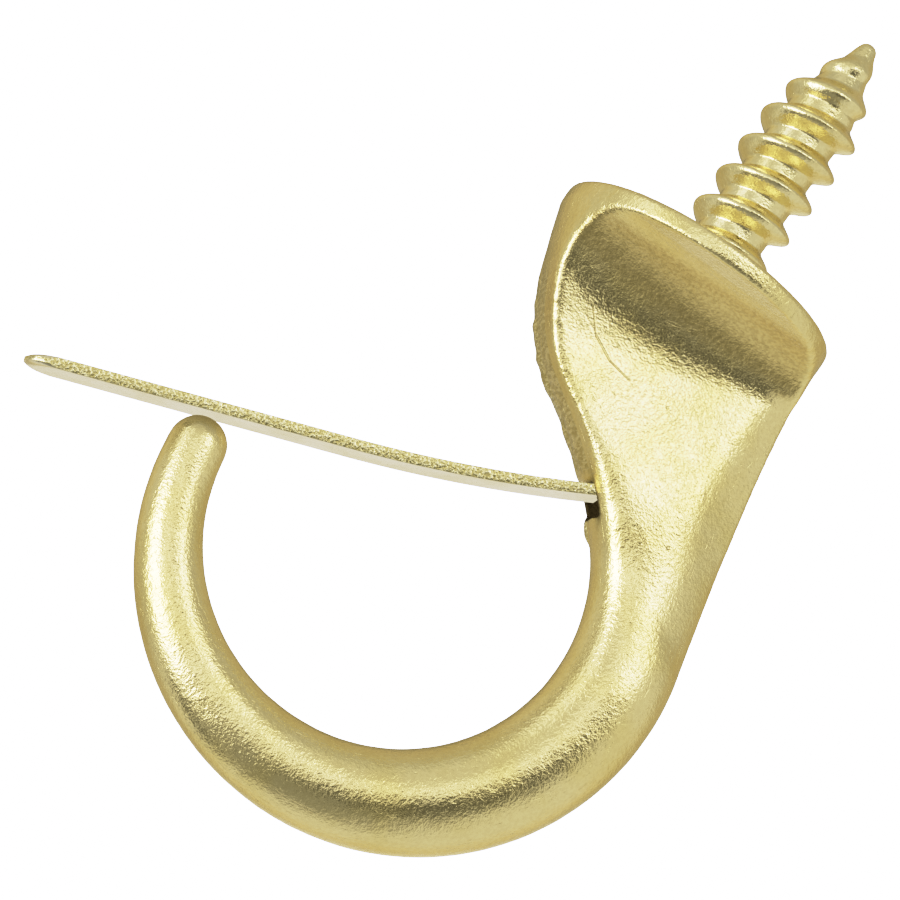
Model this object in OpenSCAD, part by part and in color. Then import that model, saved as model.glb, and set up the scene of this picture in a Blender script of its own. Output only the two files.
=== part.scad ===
// Safety cup hook. A one-piece brass casting with a wood screw, a round seat, a scooped
// neck and a tapered round hook, and a flat spring latch that closes the throat.
// Millimetres. The seat lies on z = 0, the screw points up, the throat opens towards -X.

/* [Seat and screw] */
// Diameter of the round seat that meets the wood
seat_d = 13.85; // [11:0.05:16]
// Height of the seat's plain rim
rim_h = 0.95; // [0.6:0.05:1.6]
// Rounding of the seat's outer corner
seat_round = 0.3; // [0.1:0.05:0.5]
// Length of the screw above the seat
screw_len = 13.4; // [9:0.05:16]
// Diameter over the thread crests
thread_d = 4.6; // [3.6:0.1:5.2]
// Diameter at the thread root
core_d = 3.1; // [2.6:0.05:3.4]
// Distance from crest to crest
pitch = 1.78; // [1.4:0.02:2.2]
// Length of the taper that ends in the blunt point
point_len = 4.2; // [3:0.1:5]
// Length over which the thread fades out towards the point
fade_len = 6; // [4:0.1:8]
// Width of the flare where the screw meets the seat
foot_gap = 0.15; // [0.1:0.05:0.4]
// Lean of the screw towards the back, as cast
screw_lean = 2.3; // [0:0.1:3]
// Distance of the screw's foot behind the middle of the seat, as cast
screw_shift = 0.22; // [0:0.02:0.4]

/* [Hook] */
// Distance from the seat to the lowest point of the hook
drop = 31.5; // [28:0.25:36]
// Inside radius of the hook
eye_r = 8.75; // [7.5:0.1:10]
// Distance of the hook's centre in front of the screw's axis
eye_offset = 4.12; // [3:0.02:5]
// Thickness of the hook at its thickest point
root_d = 5.1; // [4.4:0.05:5.5]
// Angle of the thickest point below the horizontal, from the hook's centre
full_angle = 14; // [10:1:30]
// Thickness of the hook at its tip
tip_d = 2.75; // [2.4:0.05:3.4]
// Angle at which the neck's back becomes the hook, from the hook's centre
back_angle = 12; // [8:1:20]
// Angle at which the neck's front becomes the hook, from the hook's centre
front_angle = 40; // [36:1:50]
// Angle through which the hook sweeps on past the horizontal behind it
sweep = 173; // [170:1:188]

/* [Neck] */
// Half thickness of the web at its middle, below the scoop's roof
web_half = 1.3; // [1.1:0.05:1.8]
// How much thinner the web is along its back than along its front
web_turn = 0.8; // [0.4:0.05:1.1]
// How much the web's half thickness grows with each millimetre down
web_down = 0.1; // [0.06:0.01:0.14]
// Height of the scoop's curved roof at the middle of the neck
roof_h = 4.6; // [4:0.1:5.4]
// How far the roof's foot falls with each millimetre towards the front
roof_tilt = 0.35; // [0.2:0.01:0.45]
// How much lower the roof's foot lies along the front edge
roof_drop = 2.2; // [1.4:0.1:3]
// Angle at which the front leaves the seat's edge
front_lean = 16; // [10:1:20]
// How straight the front leaves the seat
front_pull = 9.1; // [7.5:0.1:10]
// How straight the front runs into the hook
front_run = 8.3; // [6:0.1:9]
// How straight the back leaves the seat
back_pull = 4; // [2:0.1:5]
// How straight the back runs into the hook
back_run = 4; // [2:0.1:5]
// Depth of the rounded front edge below the scoop's roof
nose_depth = 0.5; // [0.35:0.05:0.9]
// Depth of the rounded back edge
spine_r = 1.5; // [1.1:0.1:2.2]
// Half thickness of the back edge before its bevel
spine_edge = 0.15; // [0.15:0.05:0.4]
// Steepness of the bevel along the back
spine_slope = 0.65; // [0.5:0.05:0.9]
// Rounding of the scoop's rim
rim_round = 0.4; // [0.3:0.05:0.6]

/* [Latch] */
// Width of the spring strip
leaf_w = 2.2; // [1.7:0.05:2.4]
// Thickness of the spring strip
leaf_t = 0.52; // [0.4:0.02:0.6]
// Length of the strip outside the neck
leaf_reach = 25.9; // [23:0.1:28]
// Bend that the tip holds in the strip
leaf_bend = 9; // [4:0.5:10]
// Length over which the strip bends
leaf_bend_len = 11; // [9:0.5:14]
// Where the strip leaves the neck, as a fraction of the neck's front
latch_at = 0.905; // [0.88:0.005:0.94]
// Angle through which the latch lifts
latch_open = 25; // [20:1:28]
// Length of the strip's tail inside the neck before it turns down
tail_in = 0.35; // [0.25:0.05:0.5]
// Length of the tail's end that turns down
tail_down = 0.3; // [0.2:0.05:0.4]
// Free space between the latch and the neck
latch_gap = 0.1; // [0.08:0.01:0.14]
// Free space between the latch and the hook's tip
rest_gap = 0.06; // [0.04:0.01:0.1]

/* [Hidden] */
// Steps round a section, down the neck, round the hook, over the tip and round the thread
half_steps = 26;
neck_steps = 36;
hook_steps = 48;
dome_steps = 6;
turn_steps = 20;
smooth_fn = 72;
// Rings lie closer together near the seat
ring_crowd = 1.6;
seat_r = seat_d / 2;
inset = 0.02;
body_r = seat_r - inset;

// Plain helpers
function mix(a, b, t) = a + (b - a) * t;
function unit(t) = min(1, max(0, t));
function ease(t) = let (c = unit(t)) c * c * (3 - 2 * c);
function polar(r, a) = [r * cos(a), r * sin(a)];
function blend_min(a, b, k) = let (h = max(k - abs(a - b), 0) / k) min(a, b) - h * h * k / 4;
function bezier(p, t) = p[0] * pow(1 - t, 3) + p[1] * 3 * t * pow(1 - t, 2)
    + p[2] * 3 * t * t * (1 - t) + p[3] * t * t * t;

// The hook tapers round its eye, and the two sides of its outline meet the neck at two angles
swing = (root_d - tip_d) / (1 - cos(sweep - full_angle));
function thick(a) = root_d - swing * (1 - cos(a + full_angle));
eye = [-eye_offset, thick(-90) + eye_r - drop];
function inner(a) = eye + polar(eye_r, a);
function outer(a) = eye + polar(eye_r + thick(a), a);
function down(a) = [sin(a), -cos(a)];

// The neck's front and back as seen from the side
front = [
    [-body_r, -rim_h],
    [-body_r, -rim_h] + front_pull * [sin(front_lean), -cos(front_lean)],
    inner(front_angle) - front_run * down(front_angle),
    inner(front_angle)
];
back = [
    [body_r, -rim_h],
    [body_r, -rim_h - back_pull],
    outer(back_angle) - back_run * down(back_angle),
    outer(back_angle)
];

// Half thickness of the scooped web at point p of the side view, at fraction e from front to back.
// The web is one tilted face under a curved roof whose foot falls towards the front
roof_edge = 0.35;
roof_wide = 0.45;
roof_curve = 2.6;
roof_start_half = body_r - roof_edge;
function roof_foot(x, e) = -rim_h - roof_h + roof_tilt * x - roof_drop * pow(unit(1 - e / roof_wide), 2);
function web(p, e) = let (
    foot = roof_foot(p[0], e),
    up = unit((p[1] - foot) / (-rim_h - foot)),
    low = web_half + web_turn * (0.5 - e) + web_down * max(foot - p[1], 0)
) mix(low, max(roof_start_half, low), 1 - pow(1 - pow(up, roof_curve), 1 / roof_curve));

// A rounded edge of the given depth and half height, at distance d from the outline
function nose(d, depth, half) = d >= depth ? half : half * sqrt(1 - pow(1 - d / depth, 2));

// Half thickness of a neck section at fraction e from front to back. The seat's circle flattens
// first, then the section narrows to the hook's thickness, and its edges grow round at the end
flat_by = 0.16;
narrow_from = 0.15;
narrow_by = 0.5;
hook_from = 0.45;
front_flat = 0.5;
corner_round = 0.6;
hook_round = 0.8;
spine_end = 0.7;
function neck_half(e, t, f, b) = let (
    w = norm(b - f),
    d = e * w,
    flat = ease(t / flat_by),
    narrow = ease((t - narrow_from) / (narrow_by - narrow_from)),
    late = ease((t - hook_from) / (1 - hook_from)),
    half = mix(body_r, root_d / 2, narrow),
    front_depth = mix(mix(body_r * mix(1, front_flat, flat), nose_depth, narrow), w / 2, late),
    back_depth = mix(mix(body_r, spine_r, narrow), w / 2, late),
    bevel = mix(mix(body_r, spine_edge, flat), spine_end, late) + spine_slope * (w - d),
    k = mix(mix(corner_round, rim_round, flat), hook_round, late),
    back_limit = blend_min(nose(w - d, back_depth, half), bevel, k),
    ends = blend_min(nose(d, front_depth, half), back_limit, k)
) max(0, blend_min(ends, web(mix(f, b, e), e), k));

// One closed ring of points across the section from f to b
function across(j) = (1 - cos(180 * j / half_steps)) / 2;
function ring(f, b, half) = [
    for (i = [0 : 2 * half_steps - 1])
        let (
            j = i <= half_steps ? i : 2 * half_steps - i,
            side = i <= half_steps ? 1 : -1,
            p = mix(f, b, across(j))
        ) [p[0], side * half[j], p[1]]
];
function round_half(half) = [for (j = [0 : half_steps]) half * sin(180 * j / half_steps)];
function neck_ring(t) = let (
    f = bezier(front, t),
    b = bezier(back, t)
) ring(f, b, [for (j = [0 : half_steps]) neck_half(across(j), t, f, b)]);
web_fade = 3;
function hook_ring(s) = let (
    a = mix(front_angle, -sweep, s),
    lag = (front_angle - back_angle) * pow(1 - s, 2),
    f = inner(a),
    b = outer(a - lag),
    half = round_half(thick(a - lag / 2) / 2)
) ring(f, b, [
    for (j = [0 : half_steps])
        let (e = across(j)) max(0, blend_min(half[j], web(mix(f, b, e), e) + web_fade * s, hook_round))
]);
tip_mid = (inner(-sweep) + outer(-sweep)) / 2;
tip_r = tip_d / 2;
function dome_ring(a) = let (
    m = tip_mid + down(-sweep) * tip_r * sin(a),
    v = polar(tip_r * cos(a), -sweep)
) ring(m - v, m + v, round_half(tip_r * cos(a)));

// Rings from inside the seat down the neck, round the hook and over the tip
start_lift = [0, rim_h / 2];
start_half = [for (j = [0 : half_steps]) neck_half(across(j), 0, front[0], back[0])];
rings = concat(
    [ring(front[0] + start_lift, back[0] + start_lift, start_half)],
    [for (i = [0 : neck_steps]) neck_ring(pow(i / neck_steps, ring_crowd))],
    [for (i = [1 : hook_steps]) hook_ring(i / hook_steps)],
    [for (i = [1 : dome_steps - 1]) dome_ring(90 * i / dome_steps)]
);
ring_n = 2 * half_steps;

module skin() {
    n = len(rings);
    end_point = tip_mid + down(-sweep) * tip_r;
    points = concat(
        [for (r = rings, p = r) p],
        [[0, 0, front[0][1] + start_lift[1]], [end_point[0], 0, end_point[1]]]
    );
    faces = concat(
        [for (r = [0 : n - 2], i = [0 : ring_n - 1])
            let (k = (i + 1) % ring_n)
            [r * ring_n + i, (r + 1) * ring_n + i, (r + 1) * ring_n + k, r * ring_n + k]],
        [for (i = [0 : ring_n - 1]) [n * ring_n, i, (i + 1) % ring_n]],
        [for (i = [0 : ring_n - 1])
            [n * ring_n + 1, (n - 1) * ring_n + (i + 1) % ring_n, (n - 1) * ring_n + i]]
    );
    polyhedron(points, faces, convexity = 8);
}

// Seat disc with a rounded outer corner, and the flare at the foot of the screw
foot_r = thread_d / 2 + foot_gap;
foot_sink = 0.1;
foot_h = foot_r - core_d / 2 + foot_sink;
module seat_disc() {
    rotate_extrude($fn = smooth_fn) {
        translate([0, -rim_h])
            square([seat_r, rim_h - seat_round]);
        translate([0, -seat_round])
            square([seat_r - seat_round, seat_round]);
        translate([seat_r - seat_round, -seat_round])
            circle(r = seat_round, $fn = 24);
    }
}
module screw_foot() {
    rotate_extrude($fn = smooth_fn)
        difference() {
            translate([0, -rim_h / 2])
                square([foot_r, foot_h + rim_h / 2]);
            translate([foot_r, foot_h])
                circle(r = foot_h, $fn = 32);
        }
}

// Screw with a right-hand thread. Rows of points follow the helix, so the crest is one clean line
core_r = core_d / 2;
crest_rise = (thread_d - core_d) / 2;
thread_phases = [0, 0.13, 0.36, 0.77];
thread_lifts = [1, 1, 0, 0];
thread_start = -1.95;
tip_zone = 1.5;
tip_start = screw_len - tip_zone;
point_curve = 1.6;
point_blunt = 0.62;
thread_stop = 0.95;
columns = turn_steps * ceil((screw_len - thread_start) / pitch + 2);
function squeeze(z) = z < tip_start ? z : screw_len - tip_zone * exp((tip_start - z) / tip_zone);
function bullet(z) = let (s = unit((z - screw_len + point_len) / point_len))
    pow(max(0, 1 - pow(s, point_curve)), point_blunt);
function screw_r(z, lift) = core_r * bullet(z)
    + lift * crest_rise * unit((screw_len - thread_stop - z) / fade_len);
function thread_point(h, j) = let (
    z = squeeze(thread_start + pitch * (h / turn_steps + thread_phases[j])),
    a = 360 * h / turn_steps,
    r = screw_r(z, thread_lifts[j])
) [r * cos(a), r * sin(a), z];

module threaded_screw() {
    rows = len(thread_phases);
    last = columns * rows;
    points = concat(
        [for (h = [0 : columns], j = [0 : rows - 1]) thread_point(h, j)],
        [[0, 0, thread_start], [0, 0, screw_len]]
    );
    low_end = len(points) - 2;
    high_end = len(points) - 1;
    lap = turn_steps * rows;
    faces = concat(
        [for (h = [0 : columns - 1], j = [0 : rows - 2])
            let (q = h * rows + j) [q, q + 1, q + rows + 1, q + rows]],
        [for (h = [0 : columns - turn_steps - 1])
            let (q = h * rows + rows - 1) [q, q + lap - rows + 1, q + lap + 1, q + rows]],
        [for (h = [0 : turn_steps - 1]) [low_end, h * rows, (h + 1) * rows]],
        [for (j = [0 : rows - 2]) [low_end, j + 1, j]],
        [[low_end, lap, rows - 1]],
        [for (h = [columns - turn_steps : columns - 1])
            [high_end, (h + 1) * rows + rows - 1, h * rows + rows - 1]],
        [for (j = [0 : rows - 2]) [high_end, last + j, last + j + 1]],
        [[high_end, last - lap + rows - 1, last]]
    );
    polyhedron(points, faces, convexity = 10);
}

// Latch strip seen from the side. It bends over its first stretch and lies straight on the tip
pivot_in = 0.2;
tail_turn = 75;
tail_r = 0.8 * leaf_t;
pivot = bezier(front, latch_at) + [pivot_in, 0];
bend_r = leaf_bend_len * 180 / (PI * leaf_bend);
tip_clear = bend_r * (1 - cos(leaf_bend)) + tip_r + rest_gap + leaf_t / 2;
to_pivot = pivot - tip_mid;
leaf_slope = atan2(to_pivot[1], to_pivot[0]) - asin(tip_clear / norm(to_pivot));
root_slope = leaf_slope + leaf_bend;
bend_mid = pivot + bend_r * [-sin(root_slope), cos(root_slope)];
function bend_point(a, off) = bend_mid + (bend_r - off) * [sin(a), -cos(a)];
bend_n = 12;
tail_n = 6;
straight = leaf_reach - leaf_bend_len;
leaf_end = bend_point(leaf_slope, 0) - polar(straight, leaf_slope);

// Points of one side of the strip, off above its middle line, from the free end to the tail
function in_neck(a, b) = pivot + a * [cos(root_slope), sin(root_slope)]
    + b * [-sin(root_slope), cos(root_slope)];
function tail_point(c, off) = in_neck(tail_in + (tail_r + off) * sin(c), (tail_r + off) * cos(c) - tail_r);
function tail_end(off) = let (p = tail_point(tail_turn, off))
    p + polar(tail_down, root_slope - tail_turn);
function leaf_side(off) = concat(
    [leaf_end + off * [-sin(leaf_slope), cos(leaf_slope)]],
    [for (i = [0 : bend_n]) bend_point(leaf_slope + leaf_bend * i / bend_n, off)],
    [for (i = [0 : tail_n]) tail_point(tail_turn * i / tail_n, off)],
    [tail_end(off)]
);
function flip(list) = [for (i = [len(list) - 1 : -1 : 0]) list[i]];

// Turns a side view drawn in x and z into a plate across y
module plate(width) {
    rotate([90, 0, 0])
        translate([0, 0, -width / 2])
            linear_extrude(width)
                children();
}

// The tail swings in the pocket, so the pocket's depth and floor follow from the tail
tail_reach = tail_in + (tail_r + leaf_t / 2) * sin(tail_turn) + tail_down * cos(tail_turn);
tail_depth = tail_r + tail_down * sin(tail_turn);
pocket_in = norm([tail_reach, leaf_t / 2]) + latch_gap;
pocket_top = leaf_t / 2 + latch_gap;
pocket_low = tail_reach * sin(latch_open) + tail_depth * cos(latch_open) + latch_gap;
mouth_len = 3;
mouth_spare = 2;
mouth_lift = pocket_top + mouth_len * tan(latch_open + mouth_spare);
module latch_pocket() {
    plate(leaf_w + 2 * latch_gap)
        polygon([
            in_neck(-mouth_len, mouth_lift),
            in_neck(0, pocket_top),
            in_neck(pocket_in, pocket_top),
            in_neck(pocket_in, -pocket_low),
            in_neck(-mouth_len, -pocket_low)
        ]);
}

module hook_body() {
    color("goldenrod")
        difference() {
            union() {
                skin();
                seat_disc();
                translate([screw_shift, 0, 0]) {
                    screw_foot();
                    rotate([0, screw_lean, 0])
                        threaded_screw();
                }
            }
            latch_pocket();
        }
}

module spring_latch() {
    color("khaki")
        intersection() {
            plate(leaf_w)
                polygon(concat(leaf_side(leaf_t / 2), flip(leaf_side(-leaf_t / 2))));
            translate([leaf_end[0], 0, leaf_end[1]])
                rotate([0, -leaf_slope, 0])
                    translate([leaf_w / 2, 0, 0])
                        rounded_end();
        }
}

// Plan outline of the strip's rounded free end, tall enough for the whole bent strip
module rounded_end() {
    cylinder(d = leaf_w, h = leaf_reach, center = true, $fn = smooth_fn);
    translate([0, -leaf_w / 2, -leaf_reach / 2])
        cube([leaf_reach + pocket_in, leaf_w, leaf_reach]);
}

hook_body();
spring_latch();
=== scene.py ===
import math

import bpy
import numpy as np
from mathutils import Matrix, Vector


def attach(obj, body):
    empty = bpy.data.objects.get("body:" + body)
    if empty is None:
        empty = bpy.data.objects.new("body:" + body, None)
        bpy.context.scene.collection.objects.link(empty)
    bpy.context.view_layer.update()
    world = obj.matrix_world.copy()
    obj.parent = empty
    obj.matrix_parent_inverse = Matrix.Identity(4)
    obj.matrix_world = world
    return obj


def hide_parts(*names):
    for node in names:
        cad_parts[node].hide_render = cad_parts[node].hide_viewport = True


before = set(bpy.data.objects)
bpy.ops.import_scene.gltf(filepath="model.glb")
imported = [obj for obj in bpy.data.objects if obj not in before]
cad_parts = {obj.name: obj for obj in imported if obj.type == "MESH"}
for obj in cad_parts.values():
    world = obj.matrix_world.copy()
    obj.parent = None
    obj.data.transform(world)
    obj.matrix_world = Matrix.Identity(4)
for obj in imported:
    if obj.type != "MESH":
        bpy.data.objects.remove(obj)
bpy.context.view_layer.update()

# Cast hook: the round seat, the scooped neck and the tapered hook are one brass casting. It was
# tumbled after casting, so its edges are soft and its skin is covered in tiny dents. A trimmed
# parting land with a rough burr runs down the front of the neck.
MM = 0.001
bpy.ops.object.select_all(action="DESELECT")
cast_hook = bpy.data.objects.new("cast_hook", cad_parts["hook_body"].data.copy())
bpy.context.scene.collection.objects.link(cast_hook)
cast_hook.data.materials.clear()
cast_hook.data.transform(Matrix.Scale(1 / MM, 4))
bpy.context.view_layer.objects.active = cast_hook
cast_hook.select_set(True)

# The screw is cut off at the seat, because the next section makes it with a rounder thread
weld = 0.0005
screw_cut = (0, 0, 0.03)
bpy.ops.object.mode_set(mode="EDIT")
bpy.ops.mesh.select_all(action="SELECT")
bpy.ops.mesh.remove_doubles(threshold=weld)
bpy.ops.mesh.bisect(plane_co=screw_cut, plane_no=(0, 0, 1), clear_outer=True, use_fill=True)
bpy.ops.object.mode_set(mode="OBJECT")


def apply_modifier(piece, kind, **settings):
    """Puts a modifier on the active piece and applies it at once."""
    modifier = piece.modifiers.new(kind.lower(), kind)
    for name, value in settings.items():
        setattr(modifier, name, value)
    bpy.ops.object.modifier_apply(modifier=modifier.name)


def points_of(piece):
    """The piece's points as an array, one row each."""
    flat = np.empty(len(piece.data.vertices) * 3)
    piece.data.vertices.foreach_get("co", flat)
    return flat.reshape(-1, 3)


def normals_of(piece):
    """The piece's point normals as an array, one row each."""
    flat = np.empty(len(piece.data.vertices) * 3)
    piece.data.vertex_normals.foreach_get("vector", flat)
    return flat.reshape(-1, 3)


def put_points(piece, points):
    """Moves the piece's points to the rows of an array."""
    piece.data.vertices.foreach_set("co", np.ascontiguousarray(points).ravel())
    piece.data.update()


def ramp(value, low, high):
    """0 below low, 1 above high and smooth between them, for numbers and arrays."""
    share = np.clip((value - low) / (high - low), 0, 1)
    return share * share * (3 - 2 * share)


def mark(piece, name, values):
    """Keeps one number for each point, for the piece's material to read."""
    made = piece.data.attributes.new(name, "FLOAT", "POINT")
    made.data.foreach_set("value", np.ascontiguousarray(values, dtype=np.float32))


def weight_group(piece, name, weights, levels=20):
    """A point group with the given weights, in even levels."""
    group = piece.vertex_groups.new(name=name)
    steps = np.rint(np.asarray(weights) * levels).astype(int)
    for step in range(1, levels + 1):
        group.add(np.flatnonzero(steps == step).tolist(), step / levels, "REPLACE")


# The round hook is tumbled softer than the neck, and the pocket and the seat stay crisp
voxel = 0.126
apply_modifier(cast_hook, "REMESH", mode="VOXEL", voxel_size=voxel, use_smooth_shade=True)
skin = points_of(cast_hook)
x, y, z = skin.T
pocket_mouth = np.array((0.9, 0, -11.7))
pocket_near = (1.5, 2.6)
hook_rake = 0.25
hook_top = (-13.5, -11.0)
seat_foot = (-1.6, -0.9)
neck_soft = 0.16
pocket_soft = 0.06
seat_soft = 0.35
from_pocket = np.linalg.norm(skin - pocket_mouth, axis=1)
on_hook = 1 - ramp(z - hook_rake * x, *hook_top)
softness = neck_soft + (1 - neck_soft) * on_hook
softness *= pocket_soft + (1 - pocket_soft) * ramp(from_pocket, *pocket_near)
softness *= seat_soft + (1 - seat_soft) * (1 - ramp(z, *seat_foot))

# A broad fillet runs inside the scoop's front rim, which is given by places in x and z
rim_line = np.array((
    (-6.17, -3.27), (-5.68, -4.58), (-4.81, -5.63), (-2.47, -7.62), (-0.52, -9.16),
    (1.46, -10.36), (3.0, -11.5), (4.17, -13.0), (5.1, -14.4), (5.97, -16.5),
))
fillet_w = 5.0
fillet_h = 0.36
fillet_top = (-5.5, -2.5)
fillet_foot = (-13.0, -6.5)
rim_bead = (0.8, 1.6)
side_faces = (0.1, 0.6)
inside_rim = np.full(len(skin), np.inf)
for first, last in zip(rim_line[:-1], rim_line[1:]):
    step = last - first
    offset = skin[:, ::2] - first
    share = np.clip(offset @ step / (step @ step), 0, 1)
    apart = np.linalg.norm(offset - share[:, None] * step, axis=1)
    apart *= np.sign(step[0] * offset[:, 1] - step[1] * offset[:, 0])
    inside_rim = np.where(np.abs(apart) < np.abs(inside_rim), apart, inside_rim)
outwards = np.sign(y)
fillet = fillet_h * (1 - np.clip(inside_rim / fillet_w, 0, 1)) ** 2
fillet *= 1 - ramp(-inside_rim, *rim_bead)
fillet *= ramp(outwards * normals_of(cast_hook)[:, 1], *side_faces)
fillet *= (1 - ramp(z, *fillet_top)) * ramp(z, *fillet_foot)
put_points(cast_hook, skin + np.outer(outwards * fillet, (0, 1, 0)))

# The upper rim is rounded a little more than the neck
rim_soft = 0.5
rim_near = (0.4, 1.3)
upper_rim = (-8.5, -6.0)
on_rim = (1 - ramp(np.abs(inside_rim), *rim_near)) * ramp(z, *upper_rim)
softness += rim_soft * on_rim * (1 - softness)
weight_group(cast_hook, "soft", softness)
apply_modifier(cast_hook, "SMOOTH", factor=0.5, iterations=37, vertex_group="soft")

# The web's end is smoothed crosswise only, so it runs into the hook and the outline stays
web_end = np.array((7.1, -14.2))
web_end_near = (1.8, 4.6)
from_web_end = np.linalg.norm(points_of(cast_hook)[:, ::2] - web_end, axis=1)
weight_group(cast_hook, "web_end", 1 - ramp(from_web_end, *web_end_near))
apply_modifier(cast_hook, "SMOOTH", factor=0.5, iterations=420, vertex_group="web_end",
               use_x=False, use_z=False)

# The land lies on the neck's front, with the burr along its far edge and a lip under the pocket
skin = points_of(cast_hook)
facing = normals_of(cast_hook)
x, y, z = skin.T
front_way = np.array((-0.94, 0, -0.34))
turned_front = (0.55, 0.8)
front_reach = (-3.2, -2.4)
land_half = 1.15
land_edge = 0.05
land_top = (3.6, 5.0)
land_foot = (10.7, 11.0)
front_face = ramp(facing @ front_way, *turned_front) * ramp(-x, *front_reach)
land_span = ramp(-z, *land_top) * (1 - ramp(-z, *land_foot))
land = 1 - ramp(np.abs(y), land_half - land_edge, land_half + land_edge)
land *= front_face * land_span
burr_h = 0.12
burr_seed = 7
burr_knots = np.random.default_rng(burr_seed).uniform(0.0, 1.0, 900)
knots_per_mm = 3.4
seat_knot = 400
burr_inner = (0.3, 0.9)
burr_outer = (land_half + 0.1, land_half + 0.5)
lip_top = (11.9, 12.2)
lip_foot = (12.7, 13.6)
burr_along = np.interp(z * knots_per_mm + seat_knot, np.arange(len(burr_knots)), burr_knots)
burr_edge = ramp(y, *burr_inner) * (1 - ramp(y, *burr_outer))
lip_span = ramp(-z, *lip_top) * (1 - ramp(-z, *lip_foot))
burr = front_face * burr_edge * np.maximum(land_span, lip_span)
rise = burr * burr_h * (burr_along + lip_span)
put_points(cast_hook, skin + facing * rise[:, None])

# Painted shade: the pocket's inside is painted dark, and a painted contact shadow darkens the tip
# where the latch rests on it
pocket_edge = np.array((1.16, 0, -11.37))
pocket_way = np.array((0.74, 0, 0.67))
pocket_depth = (0.06, 0.3)
pocket_reach = (2.0, 2.4)
pocket_half = (1.4, 1.6)
turned_out = (0.2, 0.5)
pocket_shade = ramp((skin - pocket_edge) @ pocket_way, *pocket_depth)
pocket_shade *= 1 - ramp(np.sign(y) * facing[:, 1], *turned_out)
pocket_shade *= (1 - ramp(from_pocket, *pocket_reach)) * (1 - ramp(np.abs(y), *pocket_half))
tip_contact = np.array((-14.53, 0, -18.5))
leaf_down = np.array((0.345, 0, -0.939))
tip_shadow_fade = (0.05, 1.1)
tip_reach = (-12.5, -12.0)
tip_shadow_strength = 0.6
tip_shadow = 1 - ramp((skin - tip_contact) @ leaf_down, *tip_shadow_fade)
tip_shadow *= 1 - ramp(x, *tip_reach)
# The pocket's painted shade and the tip's painted contact shadow are kept as one mark
mark(cast_hook, "painted_shade", np.maximum(pocket_shade, tip_shadow_strength * tip_shadow))

# The burr and the land are torn. The land is dull, and the roof under the seat is painted the same
# dull gold as painted shade, in place of the hook's reflections of itself
burr_torn = 2.2
land_torn = 0.7
mark(cast_hook, "torn", np.clip(burr_torn * burr + land_torn * land, 0, 1))
turned_down = (0.25, 0.6)
turned_back = (0.1, 0.4)
roof_foot = (-7.5, -5.5)
roof_half = (3.6, 4.6)
seat_roof_shade = ramp(-facing[:, 2], *turned_down) * (1 - ramp(facing[:, 0], *turned_back))
seat_roof_shade *= ramp(z, *roof_foot) * (1 - ramp(np.abs(y), *roof_half))
# The land's own dullness and the roof's painted shade are kept as one mark
mark(cast_hook, "dull_land_and_roof_shade", np.maximum(seat_roof_shade, land))


def dent(piece, size, strength):
    """Presses shallow dents of one size into the active piece, as tumbling does."""
    texture = bpy.data.textures.new("tumbled_dents", "CLOUDS")
    texture.noise_scale = size
    apply_modifier(piece, "DISPLACE", texture=texture, texture_coords="LOCAL",
                   strength=strength, mid_level=0.5)


dent_size = 0.85
peck_size = 0.3
dent(cast_hook, dent_size, strength=0.022)
dent(cast_hook, peck_size, strength=0.008)


class Wire:
    """One output of a shader node, so that shader maths reads as plain expressions."""

    def __init__(self, tree, socket=None):
        self.tree = tree
        self.socket = socket

    def node(self, kind, settings=None, sockets=None, out=0):
        """Adds a node of this kind with its settings, then its sockets' values or links."""
        made = self.tree.nodes.new(kind)
        for name, value in (settings or {}).items():
            setattr(made, name, value)
        for name, value in (sockets or {}).items():
            self.feed(made.inputs[name], value)
        return Wire(self.tree, made.outputs[out])

    def feed(self, socket, value):
        """Links another wire to a socket, or sets the socket's value."""
        if isinstance(value, Wire):
            self.tree.links.new(value.socket, socket)
        else:
            socket.default_value = value

    def maths(self, operation, first, second):
        """A Math node on two wires or numbers."""
        return self.node("ShaderNodeMath", {"operation": operation}, {0: first, 1: second})

    def __add__(self, other):
        return self.maths("ADD", self, other)

    def __radd__(self, other):
        return self.maths("ADD", other, self)

    def __sub__(self, other):
        return self.maths("SUBTRACT", self, other)

    def __rsub__(self, other):
        return self.maths("SUBTRACT", other, self)

    def __mul__(self, other):
        return self.maths("MULTIPLY", self, other)

    def __rmul__(self, other):
        return self.maths("MULTIPLY", other, self)

    def ramp(self, low, high):
        """0 below low, 1 above high and smooth between them."""
        return self.node(
            "ShaderNodeMapRange",
            {"interpolation_type": "SMOOTHSTEP"},
            {"Value": self, "From Min": low, "From Max": high},
        )

    def mixed(self, share, first, second):
        """A colour between two others."""
        return self.node(
            "ShaderNodeMix",
            {"data_type": "RGBA"},
            {"Factor": share, 6: first, 7: second},
            out=2,
        )


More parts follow.
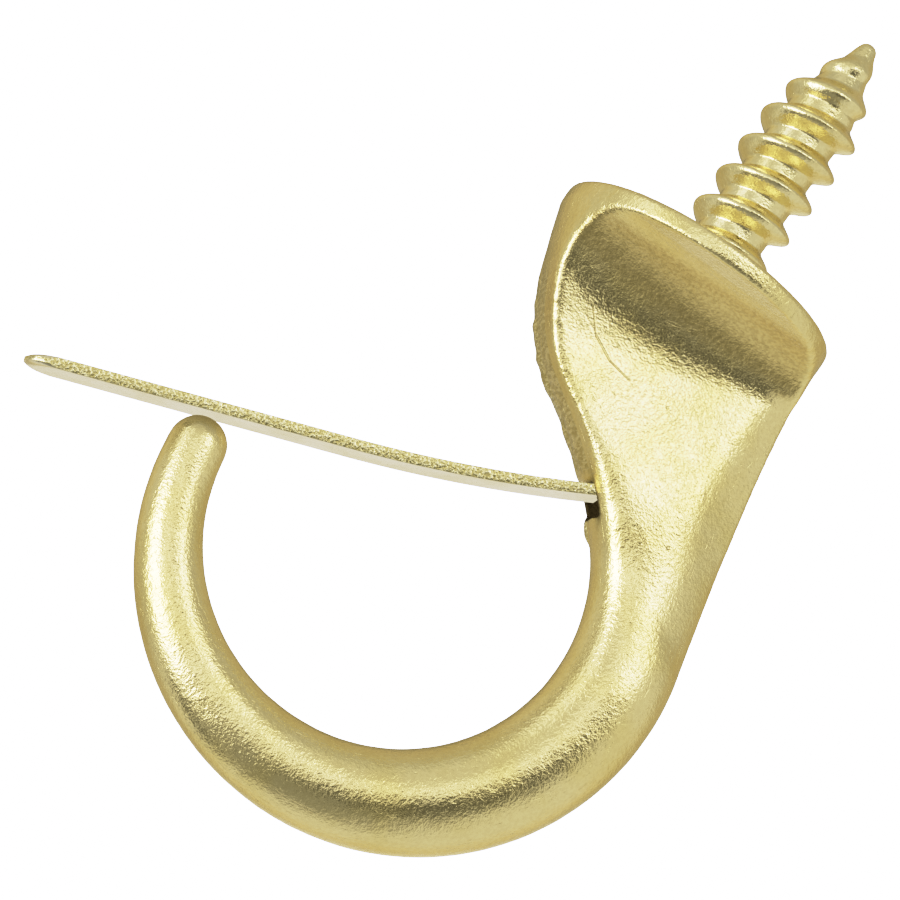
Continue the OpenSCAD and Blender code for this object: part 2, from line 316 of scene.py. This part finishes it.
def brass(name, pale, deep, rough, dimple, depth, scratches=()):
    """Tumbled brass with peened dimples, grit, pecks and hair scratches.

    Points marked torn are rough. The land's mark and the painted shade under the seat are dull, and
    the painted shade in the pocket and on the tip is dark.
    """
    made = bpy.data.materials.new(name)
    made.use_nodes = True
    shader = made.node_tree.nodes["Principled BSDF"]
    start = Wire(made.node_tree)
    place = start.node("ShaderNodeTexCoord", out="Object")

    def noise(size, detail, warp=0.0, at=place):
        """Soft noise with lumps of this size in millimetres."""
        return start.node("ShaderNodeTexNoise", {}, {
            "Vector": at, "Scale": 1 / (size * MM), "Detail": detail, "Distortion": warp})

    def cells(size):
        """Distance to the middle of cells of this size in millimetres."""
        return start.node("ShaderNodeTexVoronoi", {"feature": "F1"}, {
            "Vector": place, "Scale": 1 / (size * MM)})

    def drawn_out(turn, stretch):
        """The place turned and scaled, for a pattern that runs one way."""
        return start.node("ShaderNodeMapping", {}, {
            "Vector": place, "Rotation": turn, "Scale": stretch})

    def marked(label):
        """The number that the piece's points keep under this name."""
        return start.node("ShaderNodeAttribute", {"attribute_name": label}, out="Fac")

    side, front, rise = (
        start.node("ShaderNodeSeparateXYZ", {}, {"Vector": place}, out=axis) * (1 / MM)
        for axis in "XYZ")

    def scratch(width, first, last):
        """1 along a line from one x and z to another, 0 away from it."""
        run = last[0] - first[0]
        climb = last[1] - first[1]
        share = (side - first[0]) * run + (rise - first[1]) * climb
        share = start.node("ShaderNodeClamp", {}, {"Value": share * (1 / (run**2 + climb**2))})
        off_side = side - first[0] - share * run
        off_rise = rise - first[1] - share * climb
        return 1 - (off_side * off_side + off_rise * off_rise).ramp(0, width**2)

    # Patterns all over the skin, cuts on the near side and the marks kept by the points
    near_side = 1 - front.ramp(-0.5, -0.3)
    cuts = front * 0
    for width, first, last in scratches:
        cuts = cuts + scratch(width, first, last) * near_side
    patches = noise(2.6, 3).ramp(0.35, 0.7)
    dimples = noise(dimple, 3.5)
    bowls = cells(dimple * 0.6)
    grit = noise(dimple * 0.3, 2)
    pecks = 1 - cells(2.6).ramp(0.0, 0.035)
    hairs = noise(1.6, 2, 1.5, drawn_out((0.5, 0.3, 0.9), (1, 9, 1))).ramp(0.66, 0.71)
    tears = noise(0.13, 2, 0.4, drawn_out((0, 0, 0), (1, 0.25, 1)))
    specks = noise(dimple * 0.9, 3).ramp(0.36, 0.64)
    torn = marked("torn")
    painted_shade = marked("painted_shade")
    dull_land_and_roof_shade = marked("dull_land_and_roof_shade")

    # Each height is a share of the depth
    dimple_h = dimples * (0.7 + patches * 0.5)
    bowl_h = bowls * bowls * 0.3
    grit_h = grit * 0.42
    peck_h = pecks * 0.5
    hair_h = hairs * 0.25
    cut_h = cuts * 1.9
    tear_h = torn * torn * tears * 3.0
    height = dimple_h + bowl_h + grit_h - peck_h - hair_h - cut_h + tear_h
    bump = start.node("ShaderNodeBump", {}, {
        "Strength": 1.0, "Distance": depth * MM, "Height": height}, out="Normal")

    # The dull gold serves both the land's own dullness and the painted shade under the seat, and
    # the near black is painted shade
    peck_brown = (0.24, 0.17, 0.06, 1)
    dull_and_shade_gold = (0.64, 0.50, 0.20, 1)
    speck_brown = (0.48, 0.38, 0.15, 1)
    torn_deep = (0.48, 0.41, 0.17, 1)
    torn_pale = (0.90, 0.83, 0.50, 1)
    shade_black = (0.05, 0.035, 0.015, 1)
    colour = start.mixed(patches, pale, deep)
    colour = start.mixed(pecks * 0.5, colour, peck_brown)
    # Painted shade under the seat, together with the land's own dull tone
    colour = start.mixed(dull_land_and_roof_shade * 0.8, colour, dull_and_shade_gold)
    colour = start.mixed(specks * (0.18 + dull_land_and_roof_shade * 0.55), colour, speck_brown)
    colour = start.mixed(torn, colour, start.mixed(tears.ramp(0.4, 0.66), torn_deep, torn_pale))
    # Painted shade: the pocket and the tip's contact are painted near black and made rougher
    start.feed(shader.inputs["Base Color"], start.mixed(painted_shade, colour, shade_black))
    start.feed(shader.inputs["Roughness"], rough + grit * 0.1 + patches * 0.05 + painted_shade * 0.4)
    start.feed(shader.inputs["Normal"], bump)
    shader.inputs["Metallic"].default_value = 1.0
    return made


# One long bent scratch and a few nicks on the near side: width, first x and z, last x and z
scratches = (
    (0.07, (-3.24, -4.65), (-2.35, -5.67)),
    (0.06, (-2.35, -5.67), (-1.2, -6.24)),
    (0.05, (-1.2, -6.24), (0.01, -6.42)),
    (0.05, (3.78, -11.76), (4.63, -12.27)),
    (0.11, (4.35, -12.42), (4.42, -12.4)),
    (0.1, (5.56, -11.78), (5.6, -11.75)),
    (0.08, (2.09, -6.43), (2.12, -6.4)),
)
cast_brass = brass(
    "cast_brass", pale=(0.85, 0.73, 0.37, 1), deep=(0.81, 0.68, 0.30, 1),
    rough=0.07, dimple=0.2, depth=0.028, scratches=scratches)
cast_hook.data.materials.append(cast_brass)
cast_hook.data.transform(Matrix.Scale(MM, 4))
bpy.ops.object.shade_smooth()
# It is left out of reflections, because the scoop's roof doesn't go dark in the photograph
cast_hook.visible_glossy = False
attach(cast_hook, "hook")
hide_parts("hook_body")

# Wood screw: rolled on the casting's own stem, so it is of the same brass. It has a rounded thread,
# a flare at its foot and a blunt point. A ball of fine rings is drawn out into it, so the thread
# runs out smoothly.
screw_len = 13.4
screw_root = -0.6
screw_lean = math.radians(2.3)
screw_shift = 0.22
core_r = 1.55
tip_r = 0.46
tip_taper = 0.32
cone_start = tip_r * 0.72
pitch = 1.78
thread_start = -1.95
thread_turn = 0.065
crest_rise = 0.75
crest_half = 0.37
crest_power = 0.75
thread_stop = 0.3
fade_len = 4.7
foot_r = 2.45
foot_h = 1.0
bpy.ops.object.select_all(action="DESELECT")
bpy.ops.mesh.primitive_uv_sphere_add(segments=112, ring_count=300, radius=1)
wood_screw = bpy.context.object
wood_screw.name = wood_screw.data.name = "wood_screw"
ball = points_of(wood_screw)
rings = np.arccos(np.clip(-ball[:, 2], -1, 1)) / math.pi
around = np.arctan2(ball[:, 1], ball[:, 0])
height = screw_root + (screw_len - screw_root) * rings
from_tip = screw_len - height

# The stem is straight, then a cone, then a round cap
cap = tip_r * np.sqrt(np.maximum(0, 1 - (1 - np.minimum(from_tip / tip_r, 1)) ** 2))
core = np.minimum(core_r, cone_start + tip_taper * from_tip)
core = np.minimum(core, np.where(from_tip < tip_r, cap, core_r))

# The thread's crest follows a helix and fades towards the tip
turn = (height - thread_start) / pitch - around / (2 * math.pi) - thread_turn
off_crest = np.abs(turn - np.rint(turn))
crest = (0.5 + 0.5 * np.cos(math.pi * np.minimum(off_crest / crest_half, 1))) ** crest_power
fade = np.clip((from_tip - thread_stop) / fade_len, 0, 1)
radius = core + crest_rise * crest * fade

# The foot flares out to the seat
flare_z = np.clip(foot_h - height, 0, foot_h)
flare = foot_r - np.sqrt(foot_h**2 - flare_z**2)
radius = np.maximum(radius, np.where(height < foot_h, flare, 0))
pole = rings < 1e-4
radius[pole] = 0
put_points(wood_screw, np.stack((radius * np.cos(around), radius * np.sin(around), height), 1))
dent(wood_screw, dent_size, strength=0.02)
wood_screw.data.transform(
    Matrix.Translation((screw_shift, 0, 0)) @ Matrix.Rotation(screw_lean, 4, "Y"))
wood_screw.data.transform(Matrix.Scale(MM, 4))
screw_brass = brass(
    "screw_brass", pale=(0.86, 0.76, 0.42, 1), deep=(0.82, 0.70, 0.34, 1),
    rough=0.07, dimple=0.2, depth=0.02)
wood_screw.data.materials.append(screw_brass)
bpy.ops.object.shade_smooth()
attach(wood_screw, "hook")
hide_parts("hook_body")

# Spring latch: a strip of rolled brass, sheared from sheet, so its faces are bright and its edges
# rough. Its root is staked in the neck's pocket and it bends over its first stretch.
leaf_w = 2.2
leaf_t = 0.52
leaf_reach = 25.9
leaf_bend = math.radians(9)
leaf_bend_len = 11.0
leaf_root = np.array((1.3584, -11.3729))
root_slope = math.radians(29.18)
tail_in = 0.55
end_round = leaf_w / 2
nose_len = 0.55
nose_blunt = 0.08
bpy.ops.object.select_all(action="DESELECT")
bpy.ops.mesh.primitive_grid_add(x_subdivisions=240, y_subdivisions=14, size=1)
latch = bpy.context.object
latch.name = latch.data.name = "spring_latch_strip"


def turn_faces_out():
    """Points the active piece's faces outwards."""
    bpy.ops.object.mode_set(mode="EDIT")
    bpy.ops.mesh.select_all(action="SELECT")
    bpy.ops.mesh.normals_make_consistent(inside=False)
    bpy.ops.object.mode_set(mode="OBJECT")


# The flat strip has a round free end, and its thickness thins to a nose there
flat = points_of(latch)
along = (0.5 - flat[:, 0]) * (leaf_reach + tail_in) - tail_in
across = flat[:, 1] * leaf_w
end_cut = end_round - np.sqrt(np.maximum(end_round**2 - across**2, 0))
near_end = ramp(along, leaf_reach - 3 * end_round, leaf_reach)
put_points(latch, np.stack((along - end_cut * near_end, across, 0 * along), 1))
turn_faces_out()
apply_modifier(latch, "SOLIDIFY", thickness=leaf_t, offset=0)
apply_modifier(latch, "BEVEL", width=0.1, segments=4, limit_method="ANGLE",
               angle_limit=math.radians(40))
along, across, lift = points_of(latch).T
to_end = leaf_reach - end_round + np.sqrt(np.maximum(end_round**2 - across**2, 0)) - along
nosed = 1 - np.clip(to_end / nose_len, nose_blunt, 1)
lift = lift * np.sqrt(1 - nosed**2)
sheared = (0.3, 0.85)
mark(latch, "torn", 1 - ramp(np.abs(normals_of(latch)[:, 2]), *sheared))

# It leaves the pocket at the root's slope, bends as an arc and runs on straight
bend_r = leaf_bend_len / leaf_bend
arc = np.clip(along, 0, leaf_bend_len)
slope = root_slope - arc / bend_r
straight = along - arc
mid_x = leaf_root[0] - bend_r * (np.sin(root_slope) - np.sin(slope)) - straight * np.cos(slope)
mid_z = leaf_root[1] - bend_r * (np.cos(slope) - np.cos(root_slope)) - straight * np.sin(slope)
leaf_x = mid_x - lift * np.sin(slope)
leaf_z = mid_z + lift * np.cos(slope)
put_points(latch, np.stack((leaf_x, across, leaf_z), 1))
turn_faces_out()
latch.data.transform(Matrix.Scale(MM, 4))
spring_brass = brass(
    "spring_brass", pale=(0.88, 0.83, 0.66, 1), deep=(0.84, 0.77, 0.54, 1),
    rough=0.14, dimple=0.2, depth=0.01)
latch.data.materials.append(spring_brass)
bpy.ops.object.shade_smooth_by_angle(angle=math.radians(35))
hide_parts("spring_latch")
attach(latch, "latch")

# Studio: a pale floor well below the hook, and one soft white room all round it with two bright
# soft boxes and a darker open front, seen only in the metal. The camera looks up a little at the
# hook's side and is rolled, as the hook lies askew.
camera_az = math.radians(-4)
camera_el = math.radians(-13.3)
camera_roll = math.radians(34.2)
camera_far = 300 * MM
photo_px = 900
px_size = 0.0445 * MM
aim = Vector((-4.782, 0, -13.3916)) * MM
toward = Vector((
    math.sin(camera_az) * math.cos(camera_el),
    -math.cos(camera_az) * math.cos(camera_el),
    math.sin(camera_el),
))
level = (-toward).cross(Vector((0, 0, 1))).normalized()
upright = level.cross(-toward)
right = math.cos(camera_roll) * level + math.sin(camera_roll) * upright
upward = -math.sin(camera_roll) * level + math.cos(camera_roll) * upright
camera = bpy.data.cameras.new("camera")
camera.sensor_width = 36
camera.lens = camera.sensor_width * camera_far / (photo_px * px_size)
camera.clip_start = 0.01
camera.clip_end = 10
camera_turn = Matrix((right, upward, toward)).transposed().to_4x4()
camera_object = bpy.data.objects.new("camera", camera)
camera_object.matrix_world = Matrix.Translation(aim + toward * camera_far) @ camera_turn
bpy.context.scene.collection.objects.link(camera_object)
bpy.context.scene.camera = camera_object

floor_size = 6
floor_drop = 0.6
bpy.ops.object.select_all(action="DESELECT")
bpy.ops.mesh.primitive_plane_add(size=floor_size, location=(0, 0, -floor_drop))
floor = bpy.context.object
floor.name = "floor"
floor_paint = bpy.data.materials.new("floor_paint")
floor_paint.use_nodes = True
floor_shader = floor_paint.node_tree.nodes["Principled BSDF"]
floor_shader.inputs["Base Color"].default_value = (0.9, 0.9, 0.9, 1)
floor_shader.inputs["Roughness"].default_value = 0.8
floor.data.materials.append(floor_paint)
floor.visible_glossy = False

room = bpy.data.worlds.new("studio")
room.use_nodes = True
bpy.context.scene.world = room
room.node_tree.nodes.clear()
start = Wire(room.node_tree)
direction = start.node("ShaderNodeTexCoord", out="Generated")


def lobe(way, inner, outer):
    """1 within the inner angle of a way, 0 beyond the outer one, in degrees.

    The way is given as side, up and front, as the camera sees them.
    """
    side, up, front = way
    axis = (side * right + up * upward + front * toward).normalized()
    aligned = start.node(
        "ShaderNodeVectorMath",
        {"operation": "DOT_PRODUCT"},
        {0: direction, 1: tuple(axis)},
        out="Value",
    )
    return aligned.ramp(math.cos(math.radians(outer)), math.cos(math.radians(inner)))


# The walls are even but for a pale backdrop, a lit corner, the ceiling and the table
backdrop = (-0.05, -0.38, -0.92)
walls = (
    0.54
    + 0.42 * lobe(backdrop, 4, 20)
    + 0.16 * lobe((-0.75, 0.6, -0.28), 20, 45)
    + 0.22 * lobe((-0.085, 0.638, 0.765), 45, 48)
    + 0.26 * lobe((0.031, -0.79, 0.613), 82, 91)
)
left_box = 4.2 * lobe((-0.712, 0.185, 0.677), 14, 29)
left_box = left_box + 1.0 * lobe((-0.455, 0.807, 0.376), 1, 18)
right_box = 2.5 * lobe((0.681, 0.27, 0.681), 2, 24)
right_box = right_box + 0.9 * lobe((0.1, 0.27, 0.957), 2, 21)
open_front = 1 - 0.86 * lobe((0.432, -0.092, 0.897), 6, 35)
open_front = open_front * (1 - 0.62 * lobe((-0.292, -0.507, 0.811), 16, 48))
dark_corners = 1 - 0.8 * lobe((-0.834, -0.507, 0.217), 11, 16)
dark_corners = dark_corners * (1 - 0.5 * lobe((0, 0.15, -0.99), 8, 24))
brightness = (walls + left_box + right_box) * open_front * dark_corners

# Behind the hook the room is warm, apart from the backdrop
warm_share = lobe((0, 0, -1), 35, 85) * (1 - 0.7 * lobe(backdrop, 6, 26))
room_tint = start.mixed(warm_share, (1, 0.99, 0.97, 1), (1, 0.86, 0.55, 1))
shoulder_top = 3.0
glow = start.node("ShaderNodeBackground", {}, {"Color": room_tint, "Strength": brightness})
plain = start.node("ShaderNodeBackground", {}, {"Color": (1, 1, 1, 1), "Strength": shoulder_top})
seen = start.node("ShaderNodeLightPath", out="Is Camera Ray")
mixed_room = start.node("ShaderNodeMixShader", {}, {"Fac": seen, 1: glow, 2: plain})
output = room.node_tree.nodes.new("ShaderNodeOutputWorld")
start.feed(output.inputs["Surface"], mixed_room)

# Bright light rolls off as on film, and pale brass keeps some blue
shoulder_points = (
    (0.1, 0.1), (0.3, 0.3), (0.5, 0.5), (0.7, 0.655), (1.0, 0.79), (1.5, 0.9), (2.2, 0.965))
blue_points = ((0.2, 0.2), (0.3, 0.345), (0.43, 0.53), (0.65, 0.78))
view = bpy.context.scene.view_settings
view.view_transform = "Standard"
view.use_curve_mapping = True
view.curve_mapping.white_level = (shoulder_top,) * 3
blue_curve = view.curve_mapping.curves[2]
shoulder_curve = view.curve_mapping.curves[3]
for light, shown in shoulder_points:
    shoulder_curve.points.new(light / shoulder_top, shown)
for light, shown in blue_points:
    blue_curve.points.new(light, shown)
view.curve_mapping.update()
